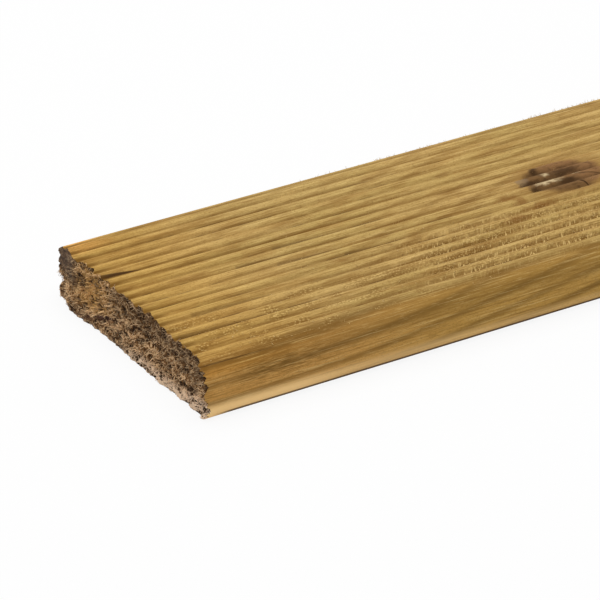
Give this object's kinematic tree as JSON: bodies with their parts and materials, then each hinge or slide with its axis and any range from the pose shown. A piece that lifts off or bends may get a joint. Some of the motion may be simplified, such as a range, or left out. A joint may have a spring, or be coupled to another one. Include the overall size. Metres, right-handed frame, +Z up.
{
  "type": "decking board",
  "caption": "Pressure-treated softwood decking board with a ribbed walking face, rounded long edges and a smooth underside that rests on joists",
  "frame": {"origin": "centre of the underside, where the board lies on its joists", "axes": "+X along the board, +Y across it, +Z up out of the ribbed face"},
  "size_m": [1.8, 0.145, 0.028],
  "materials": {
    "treated_softwood": "planed, with moulded ribs on top and rough sawn ends"
  },
  "bodies": {
    "root": {"board": "treated_softwood"}
  },
  "joints": []
}
